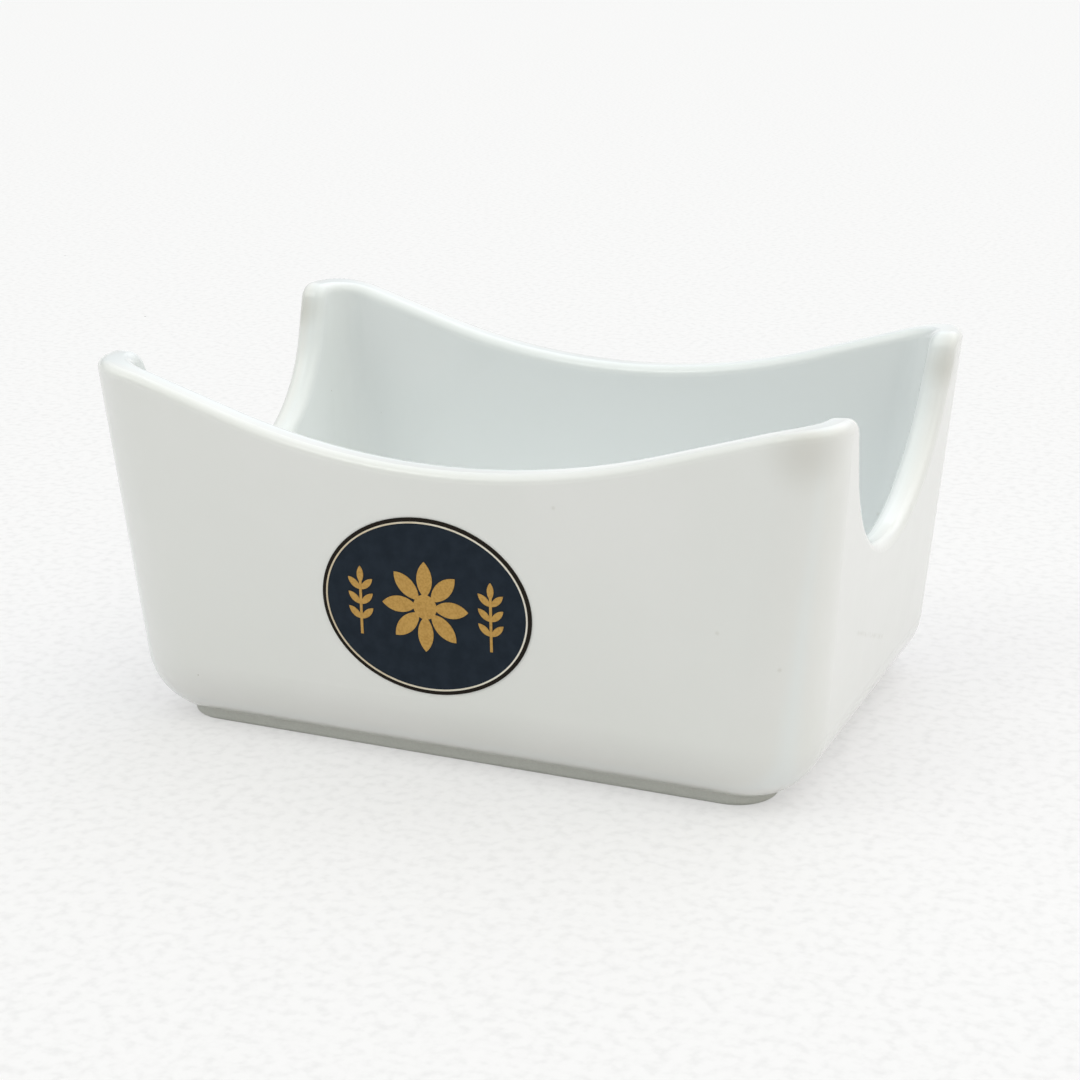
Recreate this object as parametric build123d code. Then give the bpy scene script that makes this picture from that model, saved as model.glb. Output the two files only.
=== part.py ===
from build123d import *

import math
import os

# Sugar packet holder: one glazed ceramic casting with a fired-on oval transfer on its front wall.
# Millimetres. +X runs along the length, +Y towards the back wall and +Z up. The origin is on the
# standing surface, under the middle of the holder.

# Casting, outside
HEIGHT = 58.6  # standing surface to the corner peaks
TOP_LENGTH = 120.0  # across the end walls, at the peaks
TOP_DEPTH = 80.4  # across the long walls, at the peaks
BASE_LENGTH = 110.9  # the same two, where the walls' slopes reach the standing surface
BASE_DEPTH = 78.0
TOP_CORNER = 8.0  # plan radius of the corners at the peaks
BASE_CORNER = 12.8  # and at the standing surface
BELLY_LIFT = 0.45  # underside of the rounded belly, above the standing surface
BELLY_ROUND = 11.4  # radius between the walls and that underside

# Casting, inside
SIDE_WALL = 5.2  # thickness of the long walls
END_WALL = 4.7  # and of the end walls
FLOOR_TOP = 6.5  # inside floor, above the standing surface
WELL_TOP_CORNER = 4.5  # plan radius of the well at the peaks
WELL_BASE_CORNER = 8.6  # and at its floor
WELL_ROUND = 7.5  # radius between the well's walls and its floor

# Rim: the long walls dip in a wide arc, and each end wall has a deep U notch
DIP = 11.3  # peak to the middle of a long wall's rim
DIP_RAMP = 17.0  # slope of the rim between the arc and a peak, in degrees
DIP_CREST = 39.2  # radius where that slope levels off over a corner post
CREST_PAST = 0.4  # from the end walls out to where it is level
NOTCH = 25.6  # peak to the bottom of an end wall's notch
NOTCH_RADIUS = 27.4
NOTCH_LEAN = 22.0  # lean of the notch's sides from upright, in degrees
NOTCH_SHOULDER = 3.4  # radius where a side turns over on to a peak
RIM_OUTER = 1.4  # rounding of the rim's outer edges
RIM_INNER = 1.8  # and of its inner edges

# Foot
FOOT_END_INSET = 6.4  # foot's wall, in from the end walls' slopes at the standing surface
FOOT_SIDE_INSET = 5.5  # and in from the long walls'
FOOT_CORNER = 6.5
FOOT_EDGE = 0.7  # rounding of the foot's lower edges
FOOT_RING = 4.5  # width of the ring that stands on the table
FOOT_RECESS = 1.6  # hollow inside the ring

# Transfer on the front wall
DECAL_X = -1.5  # its middle, along the wall
DECAL_Z = 26.5  # and above the standing surface
DECAL_WIDTH = 34.1
DECAL_HEIGHT = 27.3
GROUND_FILM = 0.15  # thickness of the dark ground
GOLD_FILM = 0.08  # thickness of the gold on top of it
BORDER_INSET = 0.6  # border line, in from the ground's edge
BORDER_LINE = 0.25
PETALS = 8
PETAL_LENGTH = 5.6
PETAL_WIDTH = 2.5
PETAL_START = 1.4  # from the rosette's middle to a petal's inner tip
ROSETTE_EYE = 1.9  # radius of the disc that the petals grow from
SPRIG_X = 10.6  # from the rosette's middle to a sprig's stem
STEM_LENGTH = 8.4
STEM_WIDTH = 0.42
LEAF_LENGTH = 2.7
LEAF_WIDTH = 1.05
LEAF_LEAN = 42.0  # leaves lean from the stem, in degrees
LEAF_PAIRS = 3
LEAF_FIRST = 1.4  # from the stem's tip down to the first pair of leaves
LEAF_STEP = 2.3  # along the stem, from one pair of leaves to the next

CUT_MARGIN = 10.0  # how far the cutting shapes reach past the casting


def half_size(height):
    """Half the outside length and depth of the sloping walls at a height."""
    share = height / HEIGHT
    length = BASE_LENGTH + (TOP_LENGTH - BASE_LENGTH) * share
    depth = BASE_DEPTH + (TOP_DEPTH - BASE_DEPTH) * share
    return length / 2, depth / 2


def section(height, end_inset, side_inset, corner):
    """Level rounded rectangle, set in from the outside of the end walls and of the long walls."""
    half_length, half_depth = half_size(height)
    outline = RectangleRounded(2 * (half_length - end_inset), 2 * (half_depth - side_inset), corner)
    return Pos(0, 0, height) * outline


def tapered(bottom, end_inset, side_inset, bottom_corner, top_corner, base_round):
    """Solid from a height up to the peaks that follows the walls' slopes, its lower edges rounded."""
    lower = section(bottom, end_inset, side_inset, bottom_corner)
    upper = section(HEIGHT, end_inset, side_inset, top_corner)
    solid = loft([lower, upper], ruled=True)
    return fillet(solid.faces().sort_by(Axis.Z)[0].edges(), base_round)


def dip_cutter():
    """What the long walls' dips take off: a wide arc, two straight ramps and a crest at each end.

    The crests level off past the end walls, so the rim over a corner is one smooth face. The arc takes
    the one radius that reaches the dip's full depth between the two ramps.
    """
    ramp = math.radians(DIP_RAMP)
    crest = TOP_LENGTH / 2 + CREST_PAST
    ramp_end = crest - DIP_CREST * math.tan(ramp / 2)
    vertex = HEIGHT - ramp_end * math.tan(ramp)
    arc_radius = (HEIGHT - DIP - vertex) / (1 / math.cos(ramp) - 1)
    reach = crest + CUT_MARGIN
    lid = HEIGHT + CUT_MARGIN
    line = [(-reach, HEIGHT), (-ramp_end, HEIGHT), (0, vertex), (ramp_end, HEIGHT), (reach, HEIGHT)]
    rim_line = FilletPolyline(*line, radius=[DIP_CREST, arc_radius, DIP_CREST])
    dip = make_face([rim_line, Polyline(line[-1], (reach, lid), (-reach, lid), line[0])])
    return extrude(Plane.XZ * dip, amount=TOP_DEPTH, both=True)


def notch_cutter():
    """What the end walls' notches take off: a round bottom between two leaning sides."""
    lean = math.radians(NOTCH_LEAN)
    vertex = HEIGHT - NOTCH - NOTCH_RADIUS * (1 / math.sin(lean) - 1)
    lid = HEIGHT + CUT_MARGIN
    half_width = (lid - vertex) * math.tan(lean)
    sides = FilletPolyline((-half_width, lid), (0, vertex), (half_width, lid), radius=NOTCH_RADIUS)
    notch = make_face([sides, Line((half_width, lid), (-half_width, lid))])
    return extrude(Plane.YZ * notch, amount=TOP_LENGTH, both=True)


def rim_borders(casting):
    """All edges of the faces that the cutters left, twice over where two of those faces meet."""
    lowest = HEIGHT - NOTCH - RIM_OUTER
    strips = [face for face in casting.faces() if face.bounding_box().min.Z > lowest]
    return [edge for face in strips for edge in face.edges()]


def post_edges(casting):
    """The four edges where a notch's sides meet the dips, on top of the corner posts."""
    borders = rim_borders(casting)
    shared = ShapeList(edge for edge in set(borders) if borders.count(edge) == 2)
    return shared.sort_by(Axis.Z)[-4:]


def round_rim(casting, well):
    """The casting with its rim rounded, less on the outside than towards the well."""
    borders = rim_borders(casting)
    edges = [edge for edge in borders if borders.count(edge) == 1]
    half_wall = min(SIDE_WALL, END_WALL) / 2
    inner_middles = [edge @ 0.5 for edge in edges if edge.distance_to(well) < half_wall]
    outer = [edge for edge in edges if edge.distance_to(well) > half_wall]
    casting = fillet(outer, RIM_OUTER)
    inner = [casting.edges().sort_by_distance(middle)[0] for middle in inner_middles]
    return fillet(inner, RIM_INNER)


def foot():
    """Low block that the holder stands on, carried up into the belly."""
    outline = section(0, FOOT_END_INSET, FOOT_SIDE_INSET, FOOT_CORNER)
    block = extrude(outline, amount=FLOOR_TOP - FOOT_RECESS)
    return fillet(block.faces().sort_by(Axis.Z)[0].edges(), FOOT_EDGE)


def foot_recess():
    """Hollow inside the foot ring."""
    end_inset = FOOT_END_INSET + FOOT_RING
    side_inset = FOOT_SIDE_INSET + FOOT_RING
    return extrude(section(0, end_inset, side_inset, FOOT_CORNER - FOOT_RING / 2), amount=FOOT_RECESS)


def holder_body():
    """The whole casting: walls, rim, well, belly and foot."""
    outside = tapered(BELLY_LIFT, 0, 0, BASE_CORNER, TOP_CORNER, BELLY_ROUND)
    well = tapered(FLOOR_TOP, END_WALL, SIDE_WALL, WELL_BASE_CORNER, WELL_TOP_CORNER, WELL_ROUND)
    casting = outside - well - dip_cutter() - notch_cutter()
    casting = fillet(post_edges(casting), NOTCH_SHOULDER)
    return round_rim(casting, well) + foot() - foot_recess()


def decal_plane(film):
    """Plane on the front wall, at the decal's middle, raised by a film's thickness."""
    half_depth = half_size(DECAL_Z)[1]
    tilt = math.atan2(TOP_DEPTH - BASE_DEPTH, 2 * HEIGHT)
    outward = (0, -math.cos(tilt), -math.sin(tilt))
    wall = Plane(origin=(DECAL_X, -half_depth, DECAL_Z), x_dir=(1, 0, 0), z_dir=outward)
    return wall.offset(film)


def printed(shape, base, film):
    """A flat shape as a film on the front wall."""
    return extrude(decal_plane(base) * shape, amount=film)


def oval(inset):
    """The decal's outline, set in by a distance."""
    return Ellipse(DECAL_WIDTH / 2 - inset, DECAL_HEIGHT / 2 - inset)


def leaf(length, width):
    """Pointed leaf along +X from the origin: where two equal discs overlap."""
    radius = (length**2 + width**2) / (4 * width)
    shift = radius - width / 2
    return Pos(length / 2, shift) * Circle(radius) & Pos(length / 2, -shift) * Circle(radius)


def rosette():
    """Flower of pointed petals round a disc."""
    petal = Pos(PETAL_START, 0) * leaf(PETAL_LENGTH, PETAL_WIDTH)
    turns = [Rot(0, 0, 360 * k / PETALS) * petal for k in range(PETALS)]
    return Circle(ROSETTE_EYE) + turns


def sprig():
    """Upright stem with a leaf at its tip and pairs of leaves below it."""
    twig = Rectangle(STEM_WIDTH, STEM_LENGTH)
    tip = STEM_LENGTH / 2
    leaves = [Pos(0, tip - STEM_WIDTH) * Rot(0, 0, 90) * leaf(LEAF_LENGTH, LEAF_WIDTH)]
    for pair in range(LEAF_PAIRS):
        height = tip - LEAF_FIRST - LEAF_STEP * pair
        for angle in (LEAF_LEAN, 180 - LEAF_LEAN):
            leaves.append(Pos(0, height) * Rot(0, 0, angle) * leaf(LEAF_LENGTH, LEAF_WIDTH))
    return twig + leaves


def decal():
    """The transfer's films: the dark ground, then the gold on top of it."""
    sprigs = Sketch() + [Pos(side * SPRIG_X, -LEAF_LENGTH / 2) * sprig() for side in (-1, 1)]
    border = oval(BORDER_INSET) - oval(BORDER_INSET + BORDER_LINE)
    return {
        "decal_ground": printed(oval(0), 0, GROUND_FILM),
        "decal_border_line": printed(border, GROUND_FILM, GOLD_FILM),
        "decal_rosette": printed(rosette(), GROUND_FILM, GOLD_FILM),
        "decal_sprigs": printed(sprigs, GROUND_FILM, GOLD_FILM),
    }


pieces = {"holder_body": holder_body(), **decal()}
os.makedirs("parts", exist_ok=True)
for name, piece in pieces.items():
    export_step(piece, f"parts/{name}.step")
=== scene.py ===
import math
from collections import namedtuple

import bpy
from mathutils import Matrix, Vector

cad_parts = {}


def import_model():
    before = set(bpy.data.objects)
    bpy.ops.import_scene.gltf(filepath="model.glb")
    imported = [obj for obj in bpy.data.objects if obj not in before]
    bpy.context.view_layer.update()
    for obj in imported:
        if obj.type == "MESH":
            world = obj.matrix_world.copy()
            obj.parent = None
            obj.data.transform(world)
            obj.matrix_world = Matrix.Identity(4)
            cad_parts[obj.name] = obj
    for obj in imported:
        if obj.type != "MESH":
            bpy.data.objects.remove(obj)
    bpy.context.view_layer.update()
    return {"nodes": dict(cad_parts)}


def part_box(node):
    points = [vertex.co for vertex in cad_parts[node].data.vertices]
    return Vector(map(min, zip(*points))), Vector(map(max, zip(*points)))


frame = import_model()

# Sugar packet holder: a glazed white ceramic casting with a fired-on oval transfer on its front wall.
# Metres. +X runs along the length, +Y towards the back wall and +Z up.

MM = 0.001
NODES = frame["nodes"]
BODY_LOW, BODY_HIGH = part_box("holder_body")
OVAL_LOW, OVAL_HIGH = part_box("decal_ground")
OVAL_MIDDLE = (OVAL_LOW + OVAL_HIGH) / 2
OVAL_HALF = (OVAL_HIGH - OVAL_LOW) / 2

# A soft random pattern: the size of its features, how fine its detail gets, and the stretch of the noise
# over which it goes from low to high
Pattern = namedtuple("Pattern", "size detail start end low high", defaults=(0.0, 1.0))
# An uneven surface: the size of its bumps, how fine their detail gets, and their depth
Relief = namedtuple("Relief", "size detail depth")
# Scattered dots: their spacing and radius, and the share of the places that have one
Dots = namedtuple("Dots", "spacing radius share")
DOT_CORE = 0.5  # share of a dot's radius at full strength

# Camera, in the photograph's frame
IMAGE_SIZE = 1080  # pixels along each side
SENSOR = 36.0  # millimetres
AZIMUTH = 23.544  # degrees to the right of the front wall's normal
ELEVATION = 16.816
ROLL = -0.396
DISTANCE = 0.34483  # from the middle of the holder
FOCAL = 2125.5  # pixels
VIEW_CENTRE = (542.1, 517.5)  # pixel that the lens points at
NEAREST = 0.01  # nothing closer to the camera is drawn

# Studio: broad soft sources and a compact one, each with its azimuth from the front towards +X and its
# elevation in degrees, how tightly its light is gathered, and its colour in the middle
SOURCES = (
    (0, 90, 3, (0.80, 0.82, 0.83)),
    (60, 42, 6, (1.13, 1.15, 1.00)),
    (120, 42, 6, (1.07, 1.04, 0.96)),
    (180, 42, 6, (1.28, 1.33, 1.49)),
    (300, 42, 6, (1.40, 1.46, 1.37)),
    (325, 49, 160, (4.0, 4.0, 3.85)),
)
PAPER = (0.94, 0.94, 0.94)  # backdrop, seen past the floor
PAPER_TOP = (0.1, 0.3)  # rise of a reflected ray over which the backdrop ends
FLOOR_COLOUR = (0.83, 0.814, 0.819)
FLOOR_LIFT = 0.5  # how far the floor turns to plain paper where it is seen, which softens its shadow
FLOOR_ROUGHNESS = 0.9
FLOOR_REACH = 6.0
WRINKLES = Pattern(1.8 * MM, 2.0, 0.4, 0.8, low=1.0, high=0.92)  # brightness
FLOOR_DOTS = Dots(22 * MM, 0.5 * MM, 0.3)
FLOOR_DOT = 0.5  # brightness of those dots

# Glaze
GLAZE = (0.825, 0.825, 0.82)
GLAZE_SHADE = (0.81, 0.815, 0.805)  # in the clouds that run through it
GLAZE_WELL_POOL_AND_LIGHT = (0.818, 0.843, 0.849)  # where it pooled in the well, with painted cool light over the well's inside
GLAZE_CREASE_SHADE = (0.80, 0.80, 0.785)  # painted shade, darker round the foot
GLAZE_IOR = 1.5
CLOUDS = Pattern(26 * MM, 3.0, 0.35, 0.65)
SMEARS = Pattern(14 * MM, 4.0, 0.3, 0.75, low=0.06, high=0.12)  # roughness
WAVES = Relief(16 * MM, 1.0, 0.10 * MM)
ORANGE_PEEL = Relief(1.7 * MM, 1.0, 0.006 * MM)
GLAZE_SPECKS = Dots(6 * MM, 0.15 * MM, 0.15)
SPECK_COLOUR = (0.55, 0.54, 0.50)
WELL_HALF = (53.1 * MM, 36.4 * MM)  # middle of the walls, at the standing surface
WELL_SLOPE = (0.078, 0.0205)  # and how far that moves out for each metre up
WELL_BLEND = 1.0 * MM
WELL_FLOOR = (3.0 * MM, 5.0 * MM)  # heights between which the well's tone begins
CREASE_SHADE_TOP = (1.5 * MM, 3.6 * MM)  # and between which the painted shade round the foot ends

# Foot, wiped clean of glaze
# bare clay, painted darker for the shade that falls on the foot's wall
BARE_CLAY_WITH_SHADE = (0.72, 0.725, 0.695)
CLAY_SHADE = 0.86  # brightness of its darker grains
CLAY_ROUGHNESS = 0.8
GRIT = Relief(0.35 * MM, 3.0, 0.05 * MM)
FOOT_HALF = (49.05 * MM, 33.5 * MM)
FOOT_CORNER = 6.5 * MM
FOOT_ABOVE = 1.0  # a height above all of the holder
FOOT_MARGIN = (0.1 * MM, 0.25 * MM)  # past the foot's wall, where the clay ends
GLAZE_LINE = 1.9 * MM  # height where the glaze begins
GLAZE_LINE_BLEND = 0.3 * MM
GLAZE_LINE_WAVE = Relief(5 * MM, 2.0, 0.6 * MM)  # how that line wanders

# Marks of handling and firing, and painted dark reflections on three post tops, with their places in
# millimetres
# also the colour of the painted dark reflections
MARK_AND_REFLECTION_COLOUR = (0.54, 0.525, 0.475)
# painted dark reflections on the tops of three posts
PAINTED_POST_REFLECTIONS = (  # place, radius and strength
    ((55.5, -39.2, 55.4), 7.5, 0.42),
    ((-58.9, 27.2, 54.2), 5.0, 0.5),
    ((58.4, 26.8, 53.6), 5.0, 0.42),
)
PINHOLES = ((19.1, -39.9, 44.0), (43.5, -39.6, 28.6), (52.1, -37.9, 23.8), (46.8, 34.2, 25.6))
PINHOLE_RADIUS = 0.5
PINHOLE_STRENGTH = 0.3
SCUFF = ((57.2, -16.5, 22.8), (56.7, 0.6, 16.4))  # its two ends
SCUFF_WIDTH = 0.6
SCUFF_STRENGTH = 0.25
SCUFF_BREAKS = Pattern(1.2 * MM, 3.0, 0.3, 0.6)

# Transfer
NAVY = (0.0095, 0.0165, 0.0270)
NAVY_PALE = (0.0145, 0.0230, 0.0360)
NAVY_MOTTLE = Pattern(2.2 * MM, 5.0, 0.3, 0.7)
NAVY_SPECKS = Dots(1.6 * MM, 0.09 * MM, 0.2)
NAVY_SMEARS = Pattern(5 * MM, 3.0, 0.3, 0.7, low=0.28, high=0.42)  # roughness
NAVY_RELIEF = Relief(0.5 * MM, 2.0, 0.008 * MM)
NAVY_SPECULAR = 0.1
OVAL_EDGE = (0.0130, 0.0095, 0.0065)  # brown-black band outside the border line
OVAL_EDGE_START = (0.945, 0.965)  # share of the way from the oval's middle to its edge
GOLD = (0.56, 0.33, 0.09)
GOLD_DEEP = (0.45, 0.25, 0.06)
GOLD_GRAIN = Pattern(0.35 * MM, 3.0, 0.35, 0.75)
GOLD_SMEARS = Pattern(1.5 * MM, 2.0, 0.3, 0.7, low=0.35, high=0.5)  # roughness, of the border line too
GOLD_RELIEF = Relief(0.3 * MM, 2.0, 0.01 * MM)
GOLD_SPECULAR = 0.2
LINE_LEFT = (0.66, 0.56, 0.41)
LINE_RIGHT = (0.80, 0.76, 0.68)
LINE_PATCH_SIZE = 3 * MM
LINE_PATCH_DETAIL = 3.0


def add_node(tree, kind, values=None, **settings):
    """New shader node. A value that is a socket is linked, and any other is set on the input."""
    made = tree.nodes.new(kind)
    for name, setting in settings.items():
        setattr(made, name, setting)
    for name, value in (values or {}).items():
        if isinstance(value, bpy.types.NodeSocket):
            tree.links.new(value, made.inputs[name])
        else:
            made.inputs[name].default_value = value
    return made


def calculate(tree, operation, first, second=0.0):
    """Socket of a number worked out from two others."""
    return add_node(tree, "ShaderNodeMath", {0: first, 1: second}, operation=operation).outputs["Value"]


def vectors(tree, operation, first, second=(0.0, 0.0, 0.0)):
    """Vector Math node with two vectors."""
    return add_node(tree, "ShaderNodeVectorMath", {0: first, 1: second}, operation=operation)


def vector(tree, operation, first, second=(0.0, 0.0, 0.0)):
    """Socket of a vector worked out from two others."""
    return vectors(tree, operation, first, second).outputs["Vector"]


def measure(tree, operation, first, second=(0.0, 0.0, 0.0)):
    """Socket of a number worked out from two vectors."""
    return vectors(tree, operation, first, second).outputs["Value"]


def scaled(tree, first, factor):
    """Socket of a vector or colour times a number."""
    values = {0: first, "Scale": factor}
    return add_node(tree, "ShaderNodeVectorMath", values, operation="SCALE").outputs["Vector"]


def fade(tree, value, start, end, low=0.0, high=1.0):
    """Socket that goes smoothly from low to high as a value goes from start to end."""
    values = {"Value": value, "From Min": start, "From Max": end, "To Min": low, "To Max": high}
    return add_node(tree, "ShaderNodeMapRange", values, interpolation_type="SMOOTHSTEP").outputs["Result"]


def opaque(colour):
    """A written colour with its alpha. A socket stays as it is."""
    return colour if isinstance(colour, bpy.types.NodeSocket) else (*colour, 1.0)


def mix_colours(tree, factor, first, second):
    """Socket that goes from the first colour to the second. The node's sockets go by number."""
    values = {0: factor, 6: opaque(first), 7: opaque(second)}
    return add_node(tree, "ShaderNodeMix", values, data_type="RGBA").outputs[2]


def mix_numbers(tree, factor, first, second):
    """Socket that goes from the first number to the second. The node's sockets go by number."""
    return add_node(tree, "ShaderNodeMix", {0: factor, 2: first, 3: second}).outputs[0]


def noise(tree, coords, size, detail):
    """Socket of soft random noise whose features are about a size across."""
    values = {"Vector": coords, "Scale": 1 / size, "Detail": detail}
    return add_node(tree, "ShaderNodeTexNoise", values).outputs["Fac"]


def pattern(tree, coords, kind):
    """Socket of a random pattern."""
    value = noise(tree, coords, kind.size, kind.detail)
    return fade(tree, value, kind.start, kind.end, kind.low, kind.high)


def relief(tree, coords, kind):
    """Height socket of an uneven surface, and its depth."""
    return noise(tree, coords, kind.size, kind.detail), kind.depth


def scatter(tree, coords, dots):
    """Mask of small round dots in some of the cells of a scattered grid."""
    cells = add_node(tree, "ShaderNodeTexVoronoi", {"Vector": coords, "Scale": 1 / dots.spacing})
    radius = dots.radius / dots.spacing
    near = fade(tree, cells.outputs["Distance"], radius, DOT_CORE * radius)
    pick = add_node(tree, "ShaderNodeSeparateColor", {"Color": cells.outputs["Color"]}).outputs["Red"]
    return calculate(tree, "MULTIPLY", near, calculate(tree, "LESS_THAN", pick, dots.share))


def distance(tree, coords, place):
    """Socket of the distance from a place in millimetres."""
    return measure(tree, "DISTANCE", coords, Vector(place) * MM)


def segment_distance(tree, coords, start, end):
    """Socket of the distance from the line between two places in millimetres."""
    start, end = Vector(start) * MM, Vector(end) * MM
    along = end - start
    from_start = vector(tree, "SUBTRACT", coords, start)
    share = measure(tree, "DOT_PRODUCT", from_start, along / along.length_squared)
    share = calculate(tree, "MAXIMUM", calculate(tree, "MINIMUM", share, 1.0), 0.0)
    return measure(tree, "DISTANCE", from_start, scaled(tree, along, share))


def bumps(tree, layers):
    """Normal socket from layers of a height socket and its depth."""
    normal = None
    for height, depth in layers:
        values = {"Height": height, "Distance": depth}
        if normal is not None:
            values["Normal"] = normal
        normal = add_node(tree, "ShaderNodeBump", values).outputs["Normal"]
    return normal


def new_material(name):
    """Material with an empty Principled shader, its tree, and a socket of the place on the holder."""
    material = bpy.data.materials.new(name)
    material.use_nodes = True
    tree = material.node_tree
    tree.nodes.clear()
    shader = add_node(tree, "ShaderNodeBsdfPrincipled")
    add_node(tree, "ShaderNodeOutputMaterial", {"Surface": shader.outputs["BSDF"]})
    coords = add_node(tree, "ShaderNodeTexCoord").outputs["Object"]
    return material, tree, shader, coords


def connect(tree, shader, **sources):
    """Links sockets to the shader's inputs, named with _ for a space."""
    for name, source in sources.items():
        tree.links.new(source, shader.inputs[name.replace("_", " ")])


def well_mask(tree, place):
    """1 on the inside of the walls and on the well's floor."""
    inside = fade(tree, place["Z"], *WELL_FLOOR)
    for axis, half, slope in zip("XY", WELL_HALF, WELL_SLOPE):
        lean = calculate(tree, "MULTIPLY", place["Z"], slope)
        past = calculate(tree, "SUBTRACT", calculate(tree, "ABSOLUTE", place[axis]), lean)
        within = fade(tree, past, half + WELL_BLEND, half - WELL_BLEND)
        inside = calculate(tree, "MULTIPLY", inside, within)
    return inside


def foot_mask(tree, coords, height):
    """1 on the foot that the holder stands on, up to a wavy line where the glaze begins."""
    core = Vector((FOOT_HALF[0] - FOOT_CORNER, FOOT_HALF[1] - FOOT_CORNER, FOOT_ABOVE))
    past = vector(tree, "SUBTRACT", vector(tree, "ABSOLUTE", coords), core)
    out = measure(tree, "LENGTH", vector(tree, "MAXIMUM", past))
    within = fade(tree, out, FOOT_CORNER + FOOT_MARGIN[1], FOOT_CORNER + FOOT_MARGIN[0])
    wave = calculate(tree, "MULTIPLY", *relief(tree, coords, GLAZE_LINE_WAVE))
    low = calculate(tree, "SUBTRACT", height, wave)
    below = fade(tree, low, GLAZE_LINE, GLAZE_LINE - GLAZE_LINE_BLEND)
    return calculate(tree, "MULTIPLY", within, below)


def spot(tree, coords, place, radius, strength):
    """Soft round spot, with its place and radius in millimetres."""
    return fade(tree, distance(tree, coords, place), radius * MM, 0.0, 0.0, strength)


def marks_and_reflections_mask(tree, coords):
    """How strongly the marks of handling and firing show, and the painted dark reflections on the post
    tops.
    """
    scuff = segment_distance(tree, coords, *SCUFF)
    scuff = fade(tree, scuff, SCUFF_WIDTH * MM, 0.0, 0.0, SCUFF_STRENGTH)
    total = calculate(tree, "MULTIPLY", scuff, pattern(tree, coords, SCUFF_BREAKS))
    pinholes = [(place, PINHOLE_RADIUS, PINHOLE_STRENGTH) for place in PINHOLES]
    for spot_values in (*PAINTED_POST_REFLECTIONS, *pinholes):
        total = calculate(tree, "MAXIMUM", total, spot(tree, coords, *spot_values))
    return total


def white_glaze():
    """Glossy white glaze, cooler where it pooled in the well with painted cool light there, painted shade
    round the foot, a few marks and painted dark reflections on the post tops, over a bare foot painted
    darker for shade.
    """
    material, tree, shader, coords = new_material("white_glaze")
    place = add_node(tree, "ShaderNodeSeparateXYZ", {"Vector": coords}).outputs
    # painted shade: the glaze darkens towards the foot
    foot_shade = fade(tree, place["Z"], CREASE_SHADE_TOP[1], CREASE_SHADE_TOP[0])
    bare = foot_mask(tree, coords, place["Z"])
    grit, grit_depth = relief(tree, coords, GRIT)
    # bare clay, painted darker for the shade on the foot
    shaded_clay = mix_colours(tree, grit, BARE_CLAY_WITH_SHADE, Vector(BARE_CLAY_WITH_SHADE) * CLAY_SHADE)
    colour = mix_colours(tree, pattern(tree, coords, CLOUDS), GLAZE, GLAZE_SHADE)
    # pooled glaze and painted cool light inside the well
    colour = mix_colours(tree, well_mask(tree, place), colour, GLAZE_WELL_POOL_AND_LIGHT)
    colour = mix_colours(tree, foot_shade, colour, GLAZE_CREASE_SHADE)
    colour = mix_colours(tree, scatter(tree, coords, GLAZE_SPECKS), colour, SPECK_COLOUR)
    # marks, and painted dark reflections on the post tops
    colour = mix_colours(tree, marks_and_reflections_mask(tree, coords), colour, MARK_AND_REFLECTION_COLOUR)
    colour = mix_colours(tree, bare, colour, shaded_clay)
    rough = mix_numbers(tree, bare, pattern(tree, coords, SMEARS), CLAY_ROUGHNESS)
    grain = calculate(tree, "MULTIPLY", grit, bare)
    layers = [relief(tree, coords, WAVES), relief(tree, coords, ORANGE_PEEL), (grain, grit_depth)]
    connect(tree, shader, Base_Color=colour, Roughness=rough, Normal=bumps(tree, layers))
    shader.inputs["IOR"].default_value = GLAZE_IOR
    return material


def oval_radius(tree, coords):
    """0 in the middle of the transfer and 1 along its edge."""
    from_middle = vector(tree, "SUBTRACT", coords, OVAL_MIDDLE)
    share = vector(tree, "MULTIPLY", from_middle, (1 / OVAL_HALF.x, 0.0, 1 / OVAL_HALF.z))
    return measure(tree, "LENGTH", share)


def navy_enamel():
    """Dark printed ground, mottled, with a brown-black band along its edge."""
    material, tree, shader, coords = new_material("navy_enamel")
    edge = fade(tree, oval_radius(tree, coords), *OVAL_EDGE_START)
    colour = mix_colours(tree, pattern(tree, coords, NAVY_MOTTLE), NAVY, NAVY_PALE)
    colour = mix_colours(tree, edge, colour, OVAL_EDGE)
    colour = mix_colours(tree, scatter(tree, coords, NAVY_SPECKS), colour, NAVY_PALE)
    normal = bumps(tree, [relief(tree, coords, NAVY_RELIEF)])
    connect(tree, shader, Base_Color=colour, Roughness=pattern(tree, coords, NAVY_SMEARS), Normal=normal)
    shader.inputs["Specular IOR Level"].default_value = NAVY_SPECULAR
    return material


def gold_enamel():
    """Flat ochre-gold print with a fine grain."""
    material, tree, shader, coords = new_material("gold_enamel")
    colour = mix_colours(tree, pattern(tree, coords, GOLD_GRAIN), GOLD, GOLD_DEEP)
    normal = bumps(tree, [relief(tree, coords, GOLD_RELIEF)])
    connect(tree, shader, Base_Color=colour, Roughness=pattern(tree, coords, GOLD_SMEARS), Normal=normal)
    shader.inputs["Specular IOR Level"].default_value = GOLD_SPECULAR
    return material


def line_enamel():
    """Pale gold of the border line, paler in patches and towards the right."""
    material, tree, shader, coords = new_material("line_enamel")
    width = 2 * OVAL_HALF.x
    along = add_node(tree, "ShaderNodeSeparateXYZ", {"Vector": coords}).outputs["X"]
    patches = noise(tree, coords, LINE_PATCH_SIZE, LINE_PATCH_DETAIL)
    shifted = calculate(tree, "ADD", along, calculate(tree, "MULTIPLY", patches, width))
    pale = fade(tree, shifted, OVAL_MIDDLE.x, OVAL_MIDDLE.x + width)
    colour = mix_colours(tree, pale, LINE_LEFT, LINE_RIGHT)
    connect(tree, shader, Base_Color=colour, Roughness=pattern(tree, coords, GOLD_SMEARS))
    shader.inputs["Specular IOR Level"].default_value = GOLD_SPECULAR
    return material


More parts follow.
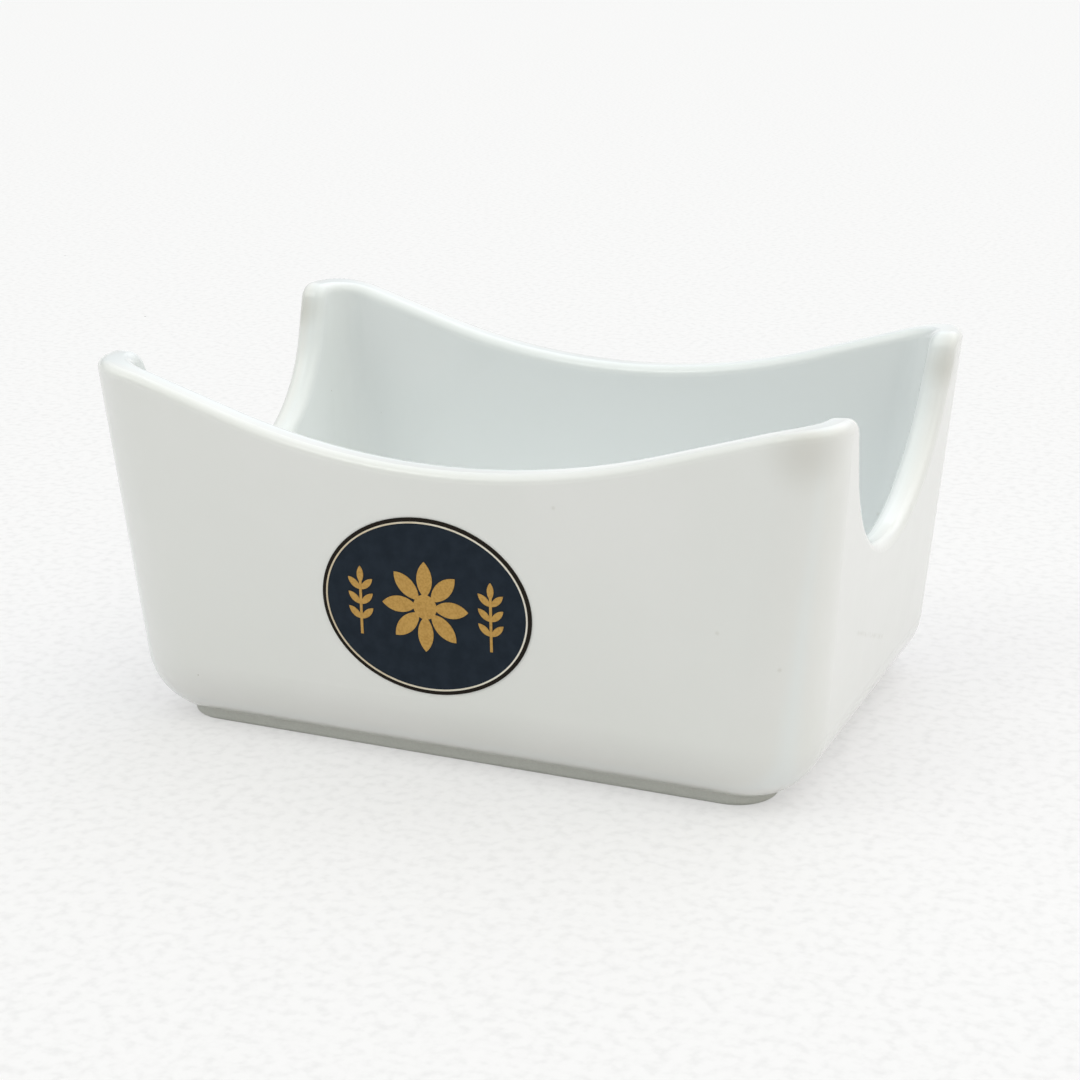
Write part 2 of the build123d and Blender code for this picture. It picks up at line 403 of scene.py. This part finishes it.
def paint(material, *names):
    """Gives a material to the nodes with these names."""
    for name in names:
        slots = NODES[name].data.materials
        slots.clear()
        slots.append(material)


def mirror_ray(tree, path):
    """1 for rays that come off a glossy or clear surface."""
    return calculate(tree, "MAXIMUM", path["Is Glossy Ray"], path["Is Transmission Ray"])


def paper_floor():
    """Pale paper, finely wrinkled, with a few dots, and lifted towards plain paper where it is seen."""
    material, tree, shader, coords = new_material("paper_floor")
    dots = fade(tree, scatter(tree, coords, FLOOR_DOTS), 0.0, 1.0, 1.0, FLOOR_DOT)
    tone = calculate(tree, "MULTIPLY", pattern(tree, coords, WRINKLES), dots)
    connect(tree, shader, Base_Color=scaled(tree, FLOOR_COLOUR, tone))
    shader.inputs["Roughness"].default_value = FLOOR_ROUGHNESS
    path = add_node(tree, "ShaderNodeLightPath").outputs
    seen = calculate(tree, "MAXIMUM", path["Is Camera Ray"], mirror_ray(tree, path))
    lift = calculate(tree, "MULTIPLY", seen, FLOOR_LIFT)
    paper = add_node(tree, "ShaderNodeEmission", {"Color": scaled(tree, PAPER, tone)}).outputs["Emission"]
    shown = add_node(tree, "ShaderNodeMixShader", {0: lift, 1: shader.outputs["BSDF"], 2: paper})
    tree.links.new(shown.outputs["Shader"], tree.nodes["Material Output"].inputs["Surface"])
    return material


def floor():
    """Wide level sheet that the holder stands on."""
    mesh = bpy.data.meshes.new("floor")
    half = FLOOR_REACH
    corners = [(-half, -half, 0), (half, -half, 0), (half, half, 0), (-half, half, 0)]
    mesh.from_pydata(corners, [], [(0, 1, 2, 3)])
    mesh.materials.append(paper_floor())
    made = bpy.data.objects.new("floor", mesh)
    bpy.context.scene.collection.objects.link(made)


def towards(azimuth, elevation):
    """Direction at an azimuth from the front towards +X and an elevation, both in degrees."""
    around, rise = math.radians(azimuth), math.radians(elevation)
    level = math.cos(rise)
    return Vector((math.sin(around) * level, -math.cos(around) * level, math.sin(rise)))


def source_light(tree, direction):
    """Colour of the soft sources in a direction."""
    total = None
    for azimuth, elevation, gather, colour in SOURCES:
        facing = measure(tree, "DOT_PRODUCT", direction, towards(azimuth, elevation))
        level = calculate(tree, "POWER", calculate(tree, "MAXIMUM", facing, 0.0), gather)
        light = scaled(tree, colour, level)
        total = light if total is None else vector(tree, "ADD", total, light)
    return total


def world():
    """The soft sources, with a pale backdrop for the camera and, near the floor, for reflections."""
    made = bpy.data.worlds.new("studio")
    made.use_nodes = True
    tree = made.node_tree
    tree.nodes.clear()
    direction = add_node(tree, "ShaderNodeTexCoord").outputs["Generated"]
    rise = add_node(tree, "ShaderNodeSeparateXYZ", {"Vector": direction}).outputs["Z"]
    path = add_node(tree, "ShaderNodeLightPath").outputs
    near_floor = fade(tree, rise, PAPER_TOP[1], PAPER_TOP[0])
    mirrored = calculate(tree, "MULTIPLY", mirror_ray(tree, path), near_floor)
    seen = calculate(tree, "MAXIMUM", path["Is Camera Ray"], mirrored)
    light = add_node(tree, "ShaderNodeBackground", {"Color": source_light(tree, direction)})
    paper = add_node(tree, "ShaderNodeBackground", {"Color": opaque(PAPER)})
    sides = {0: seen, 1: light.outputs["Background"], 2: paper.outputs["Background"]}
    shown = add_node(tree, "ShaderNodeMixShader", sides).outputs["Shader"]
    add_node(tree, "ShaderNodeOutputWorld", {"Surface": shown})
    bpy.context.scene.world = made


def camera():
    """Camera where the photograph was taken from."""
    back = towards(AZIMUTH, ELEVATION)
    level = towards(AZIMUTH + 90, 0)
    upright = back.cross(level)
    roll = math.radians(ROLL)
    right = level * math.cos(roll) + upright * math.sin(roll)
    up = upright * math.cos(roll) - level * math.sin(roll)
    data = bpy.data.cameras.new("camera")
    data.sensor_width = SENSOR
    data.lens = FOCAL / IMAGE_SIZE * SENSOR
    data.shift_x = 0.5 - VIEW_CENTRE[0] / IMAGE_SIZE
    data.shift_y = VIEW_CENTRE[1] / IMAGE_SIZE - 0.5
    data.clip_start = NEAREST
    made = bpy.data.objects.new("camera", data)
    middle = Vector((0, 0, (BODY_HIGH.z - BODY_LOW.z) / 2))
    axes = Matrix((right, up, back)).transposed().to_4x4()
    made.matrix_world = Matrix.Translation(middle + back * DISTANCE) @ axes
    bpy.context.scene.collection.objects.link(made)
    bpy.context.scene.camera = made


paint(white_glaze(), "holder_body")
paint(navy_enamel(), "decal_ground")
paint(gold_enamel(), "decal_rosette", "decal_sprigs")
paint(line_enamel(), "decal_border_line")
floor()
world()
camera()
bpy.context.scene.view_settings.view_transform = "Standard"
